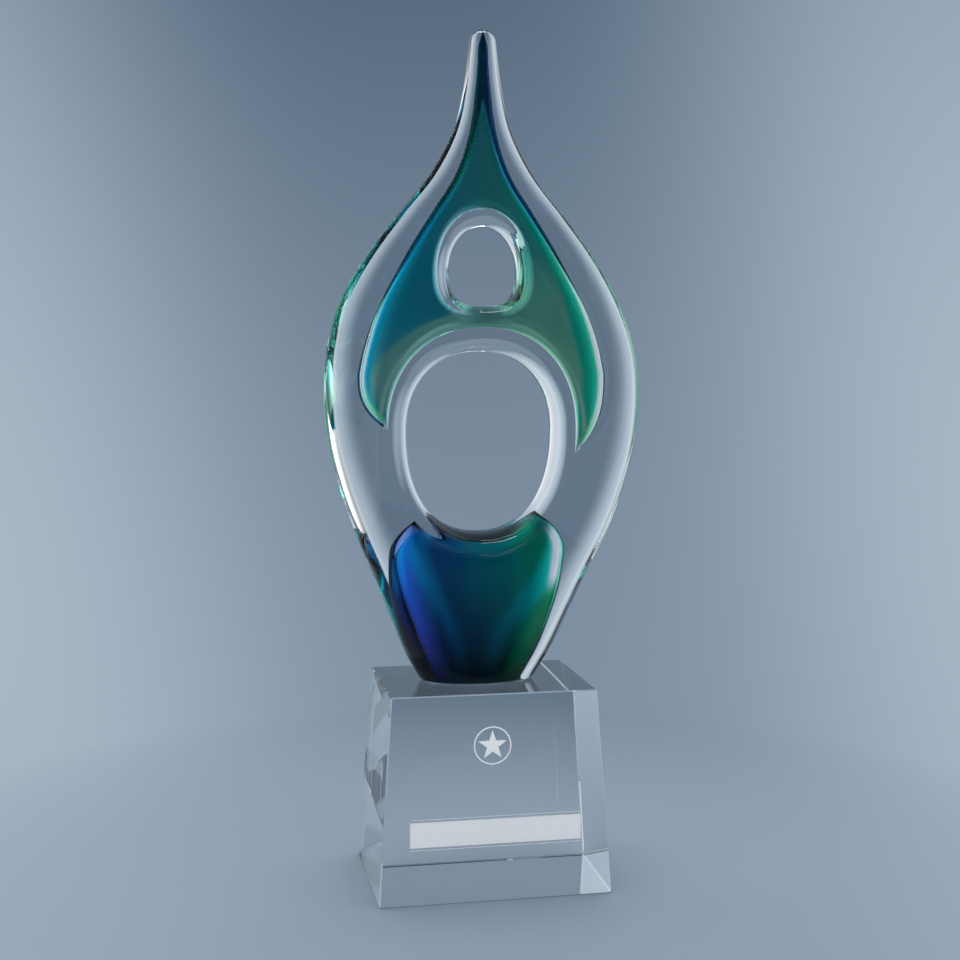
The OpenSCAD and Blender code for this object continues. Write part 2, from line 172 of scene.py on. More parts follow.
def outside(o, x, h):
    """Distance outside the edge, along the line to the middle of the opening."""
    return np.hypot(x - o.shift, h - o.mid) * (1 - 1 / np.maximum(reach(o, x, h), TINY))


def edge_point(o, p):
    """The points of the edge that lie in the directions of p."""
    k = reach(o, p[:, 0], p[:, 1])
    return np.stack([o.shift + (p[:, 0] - o.shift) / k, o.mid + (p[:, 1] - o.mid) / k], 1)


def edge_at(o, h):
    """Half-width of an opening at a height."""
    z, n = up_or_down(o, h)
    return o.half * np.maximum(1 - z ** n, 0) ** (1 / n)


NECK_H = SMALL.mid + SMALL.rise + NECK_GAP
WAIST_H = LARGE.mid + LARGE.rise + WAIST_GAP


def outline(h):
    """Where a height lies on the flame's outline, in percent: the body below the neck, then the neck."""
    return np.where(h < NECK_H, NECK_SHARE * h / NECK_H,
                    NECK_SHARE + (100 - NECK_SHARE) * (h - NECK_H) / (FLAME_H - NECK_H))


def sway(h):
    """How far the flame's middle line strays: left at the foot, and a little to the right at the belly."""
    belly = 1 - np.clip(np.abs(h - BELLY_H) / BELLY_REACH, 0, 1) ** BELLY_EASE
    return FOOT_SWAY * np.clip(1 - h / SWAY_H, 0, 1) ** SWAY_EASE + BELLY_SWAY * belly ** 2


def tip_end(h):
    """Share of the width that is left at a height: a quarter circle at the tip."""
    return np.sqrt(1 - np.clip((h - FLAME_H + TIP_ROUND) / TIP_ROUND, 0, 1) ** 2)


def foot_end(h):
    """How far the side is drawn in at a height: a quarter circle at the foot."""
    return FOOT_ROUND * (1 - np.sqrt(1 - (1 - np.clip(h / FOOT_ROUND, 0, 1)) ** 2))


def flame_x(h):
    """Half-width of the flame."""
    return FLAME_W / 200 * smooth(FLAME_SIDE, outline(h)) * tip_end(h) - foot_end(h)


def flame_y(h):
    """Half-depth of the flame at its middle."""
    return FLAME_D / 200 * smooth(FLAME_EDGE, outline(h)) * tip_end(h) - foot_end(h)


def flame_half(x, h):
    """Half-thickness of the flame: a lens-shaped section, rounded off round both openings."""
    return (flame_y(h) * lens(x - sway(h), flame_x(h)) * round_off(outside(LARGE, x, h), LARGE_RIM)
            * round_off(outside(SMALL, x, h), SMALL_RIM))


# ---------------------------------------------------------------- grids and skins
def across(n):
    """Places across a row from -1 to 1, closer together at both ends: the sine of even steps."""
    return np.sin(np.radians(90 * np.arange(-n, n + 1) / n))


def along(m):
    """Places along a line from 0 to 1, closer together at both ends: half of one less the cosine."""
    return (1 - np.cos(np.radians(180 * np.arange(m + 1) / m))) / 2


def towards(start, end, n):
    """Places from start to end, closer together at the end: the sine of even steps."""
    return start + (end - start) * np.sin(np.radians(np.linspace(0, 90, n)))


def column(h):
    """Heights as a column, so that a row of places makes one row of points for each."""
    return np.asarray(h, float)[..., None]


def circle(degrees):
    """Points of a unit circle at the given angles."""
    turn = np.radians(degrees)
    return np.stack([np.cos(turn), np.sin(turn)], 1)


def points(x, h):
    """Places across and heights as the points of one grid."""
    return np.stack(np.broadcast_arrays(x, h), -1)


def ring_grid(o, boundary, m):
    """Rows from the opening's edge, straight out to a closed boundary."""
    q = edge_point(o, boundary)
    return q[None] + (boundary - q)[None] * along(m)[:, None, None]


def flame_row(h, n):
    """Level rows from the flame's left side to its right."""
    h = column(h)
    return points(sway(h) + across(n) * flame_x(h), h)


def flame_side(h1, h0, n, s):
    """Points down one side of the flame, between two heights and without them."""
    h = h1 + (h0 - h1) * np.arange(1, n) / n
    return points(sway(h) + s * flame_x(h), h)


def belt(h1, n1, h0, n0, n):
    """A closed boundary: top row, right side, bottom row, left side."""
    top = flame_row(h1, n1)
    return np.concatenate([top, flame_side(h1, h0, n, 1), flame_row(h0, n0)[::-1],
                           flame_side(h1, h0, n, -1)[::-1], top[:1]])


def both_faces(xh, half):
    """A grid's points on the front of a piece, then on its back. Where the piece is thinner than a seal, the
    two fall together."""
    x, h = xh[..., 0], xh[..., 1]
    y = half(x, h)
    x, y, h = x.ravel(), np.where(y < SEAL, 0, y).ravel(), h.ravel()
    return np.concatenate([np.stack([x, -y, h], 1), np.stack([x, y, h], 1)])


def skin_faces(grid, half):
    """Front and back points of one grid, and its triangles wound outwards on both sides. Each cell is cut
    along the diagonal where the piece is fuller, and slivers are left out."""
    pts = both_faces(grid, half)
    n = len(pts) // 2
    a = np.arange(n).reshape(grid.shape[:2])
    cell = np.stack([a[:-1, :-1], a[:-1, 1:], a[1:, 1:], a[1:, :-1]], -1).reshape(-1, 4)
    deep = pts[n:, 1]
    fuller = (deep[cell[:, 0]] + deep[cell[:, 2]] >= deep[cell[:, 1]] + deep[cell[:, 3]])[:, None]
    tris = np.concatenate([np.where(fuller, cell[:, [0, 1, 2]], cell[:, [0, 1, 3]]),
                           np.where(fuller, cell[:, [0, 2, 3]], cell[:, [1, 2, 3]])])
    x, h = pts[:n, 0], pts[:n, 2]
    p, q, r = tris.T
    turn = (x[q] - x[p]) * (h[r] - h[p]) - (h[q] - h[p]) * (x[r] - x[p])
    tris, turn = tris[np.abs(turn) > SLIVER], turn[np.abs(turn) > SLIVER]
    front = np.where((turn > 0)[:, None], tris, tris[:, [0, 2, 1]])
    return pts, np.concatenate([front, front[:, ::-1] + n])


def under_faces(row, half):
    """A flat strip that closes a solid below, between its front and back lower edges."""
    n = len(row)
    k = np.arange(n - 1)
    return both_faces(row, half), np.concatenate([np.stack([k, k + n, k + 1], 1),
                                                  np.stack([k + 1, k + n, k + n + 1], 1)])


def joined(parts):
    """Several sets of points and triangles as one."""
    starts = np.cumsum([0] + [len(pts) for pts, _ in parts])
    return (np.concatenate([pts for pts, _ in parts]),
            np.concatenate([tris + start for (_, tris), start in zip(parts, starts)]))


def blown(grids, half, under=None):
    """All grids as one closed skin, and which of its triangles are flat. Points that fall together are
    merged, and so is all that lies close to a grid's pointed end."""
    parts = [skin_faces(g, half) for g in grids]
    if under is not None:
        parts.append(under_faces(under, half))
    pts, tris = joined(parts)
    flat = np.zeros(len(tris), bool)
    if under is not None:
        flat[-len(parts[-1][1]):] = True
    for g in grids:
        if np.ptp(g[-1], axis=0).max() < TINY:
            tip = np.array([g[-1, 0, 0], 0, g[-1, 0, 1]])
            pts[np.linalg.norm(pts - tip, axis=1) < POINT] = tip
    _, first, merged = np.unique(np.round(pts, DECIMALS), axis=0, return_index=True, return_inverse=True)
    tris = merged.ravel()[tris]
    whole = (tris != np.roll(tris, 1, axis=1)).all(axis=1)
    return pts[first], tris[whole], flat[whole]


def placed(name, data):
    """A new object in the scene, made of the given data."""
    obj = bpy.data.objects.new(name, data)
    bpy.context.scene.collection.objects.link(obj)
    return obj


def add_mesh(name, pts, tris, flat, lift=0.0, inset=None):
    """Writes points in millimetres to a mesh in metres in the frame's place, lifted by the height that they
    start from. Inset is three values for each point, for the glass to be tinted by."""
    mesh = bpy.data.meshes.new(name)
    place = (np.asarray(pts, float) + [0, 0, lift]) / 1000
    mesh.from_pydata(place.tolist(), [], np.asarray(tris).tolist())
    mesh.polygons.foreach_set("use_smooth", ~flat)
    mesh.update()
    if inset is not None:
        layer = mesh.attributes.new("inset", "FLOAT_VECTOR", "POINT")
        layer.data.foreach_set("vector", np.asarray(inset, np.float32).ravel())
    return placed(name, mesh)


# ---------------------------------------------------------------- the flame
def flame_mesh():
    """Four grids: the neck, a ring round each opening, and the foot. Half a row has fewer steps at the neck
    and the foot than at the waist between the openings."""
    fewer, more = 7 * DENSE, 12 * DENSE
    tip = FLAME_H - TIP_ROUND
    neck = np.concatenate([np.linspace(NECK_H, tip, 20 * DENSE),
                           tip + TIP_ROUND * np.sin(np.radians(np.linspace(6, 90, 5 * DENSE)))])
    foot = np.concatenate([FOOT_ROUND * (1 - np.cos(np.radians(np.linspace(0, 90, 7)))),
                           np.linspace(FOOT_ROUND, ANKLE_H, 10 * DENSE)[1:]])
    grids = [flame_row(neck, fewer),
             ring_grid(SMALL, belt(NECK_H, fewer, WAIST_H, more, 12 * DENSE), 13 * DENSE),
             ring_grid(LARGE, belt(WAIST_H, more, ANKLE_H, fewer, 22 * DENSE), 13 * DENSE),
             flame_row(foot, fewer)]
    return blown(grids, flame_half, flame_row(0.0, fewer))


def flame_inset(pts):
    """How far each point lies beyond the large opening and beyond the small one, and its height."""
    x, h = pts[:, 0], pts[:, 2]
    return np.stack([outside(LARGE, x, h), outside(SMALL, x, h), h], 1)


# ---------------------------------------------------------------- upper colour
# Layer k is 0 for the colour and 1 for the gather inside it. Side s is -1 for the left and 1 for the right.
COLOUR_TOP = FLAME_H - TIP_CLEAR
INNER_TIP = COLOUR_TOP - INNER_CLEAR
LEG_TOP = LARGE.mid + LARGE.rise


def arch(k):
    """The edge that the colour keeps round the large opening."""
    return grown(LARGE, ARCH_GAP + k * UPPER_LAYER, ARCH_LIFT)


def halo(k):
    """The edge that the colour keeps round the small opening."""
    return grown(SMALL, RING_GAP + k * UPPER_LAYER, RING_LIFT)


THROAT_H = halo(1).mid + halo(1).rise + THROAT_GAP


def part_way(h, tip):
    """How far up the outline a height lies between the colour's widest part and a tip, in percent."""
    low = outline(COLOUR_H)
    return 100 * (outline(h) - low) / (outline(tip) - low)


def share(h, k):
    """Share of the colour's width that a layer has."""
    return 1.0 if k == 0 else smooth(INNER_SHARE, part_way(h, INNER_TIP)) / 100


def leg(k, s):
    """How far a leg reaches down from the colour's widest part. The gather's legs are shorter."""
    return np.where(s < 0, LEFT_LEG, RIGHT_LEG) - k * LEG_STEP * UPPER_LAYER


def above_x(h, k):
    """Half-width of the colour above its widest part: a share of the flame's own."""
    widest = LARGE.half + ARCH_GAP + LEG_W
    return (flame_x(h) * widest / flame_x(COLOUR_H) * smooth(ARCH_SIDE, part_way(h, COLOUR_TOP)) / 100
            * share(h, k))


def colour_x(h, k, s):
    """Half-width of the colour. Below its widest part it curls in to the arch by a power of the way down."""
    w = above_x(COLOUR_H, k)
    reach_down = leg(k, s)
    end = edge_at(arch(k), COLOUR_H - reach_down)
    below = w - (w - end) * np.clip((COLOUR_H - h) / reach_down, 0, 1) ** LEG_CURL
    return np.where(h >= COLOUR_H, above_x(np.maximum(h, COLOUR_H), k), below)


def colour_y(h, k):
    """Half-depth of the colour at its middle: the flame's own less a clear face, by a share for the height.
    The gather is thinner by its own share and by its step."""
    deepest = flame_y(COLOUR_H)
    full = flame_y(h) * (1 - FACE_CLEAR / deepest) * smooth(ARCH_EDGE, part_way(h, COLOUR_TOP)) / 100
    return full if k == 0 else full * share(h, k) * (1 - DEPTH_STEP * UPPER_LAYER / (deepest - FACE_CLEAR))


def upper_half(k):
    """Half-thickness of the colour: a lens-shaped section, rounded off at the arch and round the halo."""
    return lambda x, h: (colour_y(h, k) * lens(x, colour_x(h, k, x))
                         * round_off(outside(arch(k), x, h), UPPER_RIM)
                         * round_off(outside(halo(k), x, h), UPPER_RIM))


def colour_row(h, k, n):
    """Level rows from the colour's left side to its right."""
    h, f = column(h), across(n)
    return points(f * colour_x(h, k, f), h)


def leg_row(h, k, s, n):
    """Level rows from a leg's outer side to the arch."""
    h = column(h)
    a, b = s * colour_x(h, k, s), s * edge_at(arch(k), h)
    return points(a + (b - a) * along(n), h)


def upper_mesh(k):
    """Four grids: the neck above the throat, a ring from the halo out to the colour's sides and the arch, and
    the two legs, which run out to points. Half a neck row has c steps, a leg row m and the arch n."""
    c, m, n = 6 * DENSE, 6 * DENSE, 20 * DENSE
    hs = THROAT_H + (LEG_TOP - THROAT_H) * np.arange(1, 18 * DENSE) / (18 * DENSE)
    left, right = (points(s * colour_x(hs, k, s), hs) for s in (-1, 1))
    o = arch(k)
    a = np.degrees(np.arctan2(LEG_TOP - o.mid, edge_at(o, LEG_TOP)))
    over = edge_point(o, circle(a + (180 - 2 * a) * np.arange(1, n) / n) + [0, o.mid])
    first = colour_row(THROAT_H, k, c)
    bound = np.concatenate([first, right, leg_row(LEG_TOP, k, 1, m), over, leg_row(LEG_TOP, k, -1, m)[::-1],
                            left[::-1], first[:1]])
    neck = towards(THROAT_H, COLOUR_TOP if k == 0 else INNER_TIP, 24 * DENSE)
    legs = [leg_row(towards(LEG_TOP, COLOUR_H - leg(k, s), 14 * DENSE), k, s, m) for s in (-1, 1)]
    return blown([colour_row(neck, k, c), ring_grid(halo(k), bound, 9 * DENSE), *legs], upper_half(k))


def upper_inset(pts):
    """How far each point lies inside the gather's outline, beyond the arch and beyond the halo. The first is
    the sideways distance times the cosine of the outline's own slope."""
    x, h = pts[:, 0], pts[:, 2]
    gap = colour_x(h, 1, x) - np.abs(x)
    slope = colour_x(h + 0.5, 1, x) - colour_x(h - 0.5, 1, x)
    return np.stack([gap / np.sqrt(1 + slope ** 2), outside(arch(0), x, h), outside(halo(0), x, h)], 1)


# ---------------------------------------------------------------- heart
# Layer k is 0 for the colour and 1 for the gather inside it.
def brow(k):
    """The edge that the heart keeps under the large opening."""
    return grown(LARGE, HEART_GAP + k * LOWER_LAYER, 0, LARGE.shift)


def under_brow(x, k):
    """Height of the brow's lower half at a place across it."""
    o = brow(k)
    return o.mid - o.drop * (1 - (np.abs(x - o.shift) / o.half) ** o.foot_power) ** (1 / o.foot_power)


def shoulder(k):
    """Place and height of the heart's shoulders, where its sides meet the brow."""
    x = SHOULDER_W / 2 - k * LOWER_LAYER
    return x, under_brow(x + LARGE.shift, k)


def heart_mid(h, k):
    """The heart's middle line leans away from the opening's middle towards the foot."""
    return LARGE.shift - HEART_LEAN * (1 - np.clip(h / shoulder(k)[1], 0, 1) ** 2)


def heart_side(h, k):
    """Half-width inside an even clear wall."""
    return flame_x(np.maximum(h, FOOT_ROUND)) - FOOT_CLEAR - k * LOWER_LAYER


def heart_x(h, k):
    """Half-width of the heart: a clear wall inside the flame's side, turned in to the shoulder above."""
    x, top = shoulder(k)
    turn = smooth(HEART_TURN, 100 * h / top) / 100
    return heart_side(h, k) * (1 - turn * (1 - x / heart_side(top, k)))


def heart_half(k):
    """Half-thickness of the heart: a lens-shaped section in the flame's faces, rounded off at the brow."""
    return lambda x, h: ((flame_y(np.maximum(h, FOOT_ROUND)) - FRONT_CLEAR - k * LOWER_LAYER)
                         * lens(x - heart_mid(h, k), heart_x(h, k))
                         * round_off(outside(brow(k), x, h), HEART_RIM))


def heart_mesh(k, cut):
    """One grid, whose rows bend from the level cut at the foot to the hollow curve of the brow: each row sags
    from its level by a power of its share of the height, times the brow's own sag."""
    x, top = shoulder(k)
    f, v = across(10 * DENSE), column(towards(0, 1, 24 * DENSE))
    h = cut + v * (top - cut)
    sag = top - under_brow(LARGE.shift + f * x, k)
    rows = points(heart_mid(h, k) + f * heart_x(h, k), h - v ** ROW_BEND * sag)
    return blown([rows], heart_half(k), rows[0])


def heart_inset(pts):
    """How far each point lies inside the heart's side, where it lies across the heart from -1 at the left to
    1 at the right, and how far it lies beyond the brow."""
    x, h = pts[:, 0], pts[:, 2]
    wide = heart_x(h, 0)
    u = (x - heart_mid(h, 0)) / wide
    return np.stack([(1 - np.abs(u)) * wide, u, outside(brow(0), x, h)], 1)


# ---------------------------------------------------------------- film and frosting
def band(outer, inner, low, high):
    """A closed band between two loops of equal length, from the depth low to the depth high, or a closed
    plate where the inner loop is one point."""
    n = len(outer)
    loops = ((outer, low), (outer, high), (inner, high), (inner, low))
    k, j = np.arange(n), (np.arange(n) + 1) % n
    wall = [(k, j, j + n), (k, j + n, k + n)]
    if len(inner) == 1:
        faces = wall + [(k + n, j + n, k * 0 + 2 * n), (j, k, k * 0 + 2 * n + 1)]
    else:
        faces = [tuple((i + a * n) % (4 * n) for i in face) for a in range(4) for face in wall]
    return (np.concatenate([np.c_[loop, np.full(len(loop), w)] for loop, w in loops]),
            np.concatenate([np.stack(face, 1) for face in faces]))


def film_mesh():
    """The film's outline is the foot's own section, a little inside it; it sinks a little into both
    neighbours, so that the three make one optical path."""
    row = flame_row(0.0, 30)
    y = flame_half(row[:, 0], row[:, 1])
    rim = np.concatenate([np.stack([row[:, 0], -y], 1), np.stack([row[::-1, 0], y[::-1]], 1)[1:-1]])
    mid = np.array([FOOT_SWAY, 0.0])
    pts, tris = band(mid + (rim - mid) * FILM_SHARE, mid[None], -(FOOT_Z - BASE[1][2]) - FILM_SINK, FILM_SINK)
    return pts, tris, np.ones(len(tris), bool)


def sides(corners, n):
    """A closed outline through its corners, in n even steps along each side."""
    t = np.linspace(0, 1, n, endpoint=False)[:, None]
    return (corners[:-1, None] + (corners[1:] - corners[:-1])[:, None] * t).reshape(-1, 2)


def frost_mesh():
    """Thin frosted shapes on the sloping front face: the wide bar and its two rules lie on the floor of their
    own slots, the star and its ring on the polished face. A point is across by u, up the slope by v and out
    of the face by w."""
    square = np.array([[-1, -1], [1, -1], [1, 1], [-1, 1], [-1, -1]])
    rule_off = BAR_H / 2 + RULE_GAP
    plates = []
    for h, v in ((BAR_H, BAR_MID), (RULE_W, BAR_MID - rule_off), (RULE_W, BAR_MID + rule_off)):
        bar = sides(square * [BAR_W - BAR_PLAY, h - BAR_PLAY] / 2, 40) + [0, v]
        plates.append(band(bar, np.array([[0, v]]), -BAR_DEEP - BAR_SINK, -BAR_DEEP + BAR_RISE))
    middle = np.array([STAR_U, STAR_V])
    ring = circle(np.arange(0, 360, 3))
    plates.append(band(middle + STAR_R * ring, middle + (STAR_R - RING_LINE) * ring, -MARK_SINK, MARK_RISE))
    far = np.where(np.arange(11) % 2, STAR_WAIST, 1.0)[:, None] * STAR_SHARE * STAR_R
    star = sides(circle(90 + 36 * np.arange(11)) * far, 6)
    plates.append(band(middle + star, middle[None], -MARK_SINK, MARK_RISE))
    uvw, tris = joined(plates)
    lean = math.atan2(LEAN_Y, BASE[1][2])
    slope = np.array([[1, 0, 0], [0, math.sin(lean), math.cos(lean)], [0, -math.cos(lean), math.sin(lean)]])
    return [0, -BASE_D / 2, 0] + uvw @ slope, tris, np.ones(len(tris), bool)


# ---------------------------------------------------------------- materials
# Distances and heights in the masks are in millimetres, heights from the flame's foot.
class Nodes:
    """Short ways to add arithmetic to a node tree."""

    def __init__(self, tree):
        self.tree = tree

    def new(self, kind, **settings):
        node = self.tree.nodes.new("ShaderNode" + kind)
        for name, value in settings.items():
            setattr(node, name, value)
        return node

    def put(self, socket, value):
        """Links the socket to another, or sets its own value."""
        if isinstance(value, bpy.types.NodeSocket):
            self.tree.links.new(value, socket)
        else:
            socket.default_value = value

    def math(self, op, a, b=0.0, c=0.0):
        node = self.new("Math", operation=op)
        for socket, v in zip(node.inputs, (a, b, c)):
            self.put(socket, v)
        return node.outputs[0]

    def both(self, a, b):
        return self.math("MULTIPLY", a, b)

    def ramp(self, fac, stops):
        """Colours that change evenly from stop to stop, each a place and a colour."""
        node = self.new("ValToRGB")
        els = node.color_ramp.elements
        while len(els) < len(stops):
            els.new(0.5)
        for el, (pos, col) in zip(els, stops):
            el.position = pos
            el.color = (*col, 1)
        self.put(node.inputs[0], fac)
        return node.outputs[0]

    def mix(self, fac, a, b, blend="MIX"):
        node = self.new("Mix", data_type="RGBA", blend_type=blend)
        for name, v in (("Factor", fac), ("A", a), ("B", b)):
            self.put(node.inputs[name], (*v, 1) if isinstance(v, tuple) else v)
        return node.outputs["Result"]

    def between(self, v, low, high, shape="SMOOTHSTEP"):
        """0 below low, 1 above high, with a soft step between, or an even one if the shape is LINEAR."""
        node = self.new("MapRange", interpolation_type=shape)
        for name, value in (("Value", v), ("From Min", low), ("From Max", high)):
            self.put(node.inputs[name], value)
        return node.outputs["Result"]

    def near(self, v, low, high):
        """1 below low, 0 above high."""
        return self.math("SUBTRACT", 1.0, self.between(v, low, high))

    def stripe(self, v, middle, width):
        """1 on a soft band round a middle, 0 beyond its width."""
        off = self.math("ABSOLUTE", self.math("SUBTRACT", v, middle))
        return self.near(off, width * 0.25, width)

    def part(self, v, i):
        """One of a vector's three numbers."""
        node = self.new("SeparateXYZ")
        self.put(node.inputs[0], v)
        return node.outputs[i]

    def place(self):
        """The object's own coordinates, in metres."""
        return self.new("TexCoord").outputs["Object"]

    def axis(self, i):
        """One of the object's own coordinates, in millimetres: the side, the depth or the height above the
        flame's foot."""
        lift = -float(FOOT_Z) if i == 2 else 0.0
        return self.math("MULTIPLY_ADD", self.part(self.place(), i), 1000.0, lift)

    def inset(self):
        """The three values written on the mesh."""
        v = self.new("Attribute", attribute_name="inset").outputs["Vector"]
        return [self.part(v, i) for i in range(3)]

    def noise(self, scale, detail=2.0, stretch=(1, 1, 1)):
        """Cloudy noise on the object's own coordinates, scale in lumps per metre."""
        stretched = self.new("Mapping")
        stretched.inputs["Scale"].default_value = stretch
        self.put(stretched.inputs["Vector"], self.place())
        cloud = self.new("TexNoise")
        for name, value in (("Vector", stretched.outputs[0]), ("Scale", scale), ("Detail", detail)):
            self.put(cloud.inputs[name], value)
        return cloud.outputs["Fac"]

    def bump(self, bsdf, height, depth):
        """Relief of the given depth in metres."""
        relief = self.new("Bump")
        relief.inputs["Distance"].default_value = depth
        self.put(relief.inputs["Height"], height)
        self.put(bsdf.inputs["Normal"], relief.outputs[0])


def material(name):
    """A material with one principled surface, its nodes and that surface."""
    m = bpy.data.materials.new(name)
    m.use_nodes = True
    m.node_tree.nodes.clear()
    n = Nodes(m.node_tree)
    bsdf = n.new("BsdfPrincipled")
    n.put(n.new("OutputMaterial").inputs[0], bsdf.outputs[0])
    return m, n, bsdf


def glass(name, ior):
    """Clear polished glass. Its index is against what is round it, so it is close to 1 inside other glass."""
    m, n, bsdf = material(name)
    for socket, value in (("Base Color", (1, 1, 1, 1)), ("Transmission Weight", 1), ("Roughness", 0),
                          ("IOR", ior)):
        bsdf.inputs[socket].default_value = value
    return m, n, bsdf


def casing_glass():
    """Clear furnace glass: drawn lines round both openings and a faint slow wave over the rest."""
    m, n, bsdf = glass("casing_glass", 1.5)
    large, small, _ = n.inset()
    cloud = n.noise(26.0, 3.0)
    n.put(bsdf.inputs["Base Color"], n.ramp(cloud, [(0.3, (0.985, 0.99, 0.995)), (0.7, (1, 1, 1))]))
    wall = n.math("MINIMUM", large, small)
    wobble = n.math("MULTIPLY_ADD", n.noise(40.0, 1.0), 2.0, wall)
    lines = n.math("SINE", n.math("MULTIPLY", wobble, 4.2))
    rings = n.both(n.both(lines, n.near(wall, 0.5, 6.0)), 0.35)
    n.bump(bsdf, n.math("MULTIPLY_ADD", cloud, 1.6, rings), 0.00004)
    return m


def crystal():
    """Cut and polished optical crystal with a trace of polishing waves."""
    m, n, bsdf = glass("base_crystal", 1.52)
    n.put(bsdf.inputs["Base Color"], n.ramp(n.noise(18.0), [(0.3, (0.97, 0.985, 0.99)), (0.7, (1, 1, 1))]))
    n.bump(bsdf, n.noise(30.0, 1.0), 0.00001)
    return m


def resin():
    """Thin clear adhesive with small cloudy patches."""
    m, n, bsdf = glass("bond_resin", 1.5)
    patches = n.ramp(n.noise(90.0, 3.0), [(0.35, (0.93, 0.96, 0.96)), (0.65, (1, 1, 1))])
    n.put(bsdf.inputs["Base Color"], patches)
    return m


def frosting():
    """Sand-blasted glass, white with a fine grain."""
    m, n, bsdf = material("base_frosting")
    grain = n.noise(2600.0)
    n.put(bsdf.inputs["Base Color"], n.ramp(grain, [(0.3, (0.84, 0.87, 0.9)), (0.7, (0.95, 0.97, 0.98))]))
    bsdf.inputs["Roughness"].default_value = 0.7
    bsdf.inputs["Specular IOR Level"].default_value = 0.3
    n.bump(bsdf, grain, 0.00003)
    return m


def sideways(n):
    """0 at the left end of the upper colour, 1 at its right end."""
    return n.math("MULTIPLY_ADD", n.axis(0), 0.5 / COLOUR_SPAN, 0.5)


def upper_tint():
    """Colour laid over the gather: almost black green and navy where only its rim shows, and thin over the
    rest."""
    m, n, bsdf = glass("upper_color_glass", 1.17)
    rim = n.inset()[0]
    side = sideways(n)
    dark = n.ramp(side, [(0.0, (0.0, 0.03, 0.07)), (0.2, (0.0, 0.04, 0.08)), (0.47, (0.0, 0.06, 0.05)),
                         (0.53, (0.0, 0.05, 0.15)), (0.8, (0.0, 0.04, 0.07)), (1.0, (0.0, 0.05, 0.02))])
    thin = n.ramp(side, [(0.0, (0.95, 1.0, 1.0)), (0.3, (0.7, 0.95, 1.0)), (0.5, (0.5, 0.85, 0.8)),
                         (0.7, (0.7, 1.0, 0.9)), (1.0, (0.97, 1.0, 0.97))])
    neck = n.between(n.axis(2), 150.0, 190.0)
    within = n.between(n.math("MULTIPLY_ADD", neck, -1.1, rim), -0.95, -0.55)
    n.put(bsdf.inputs["Base Color"], n.mix(within, dark, thin))
    return m


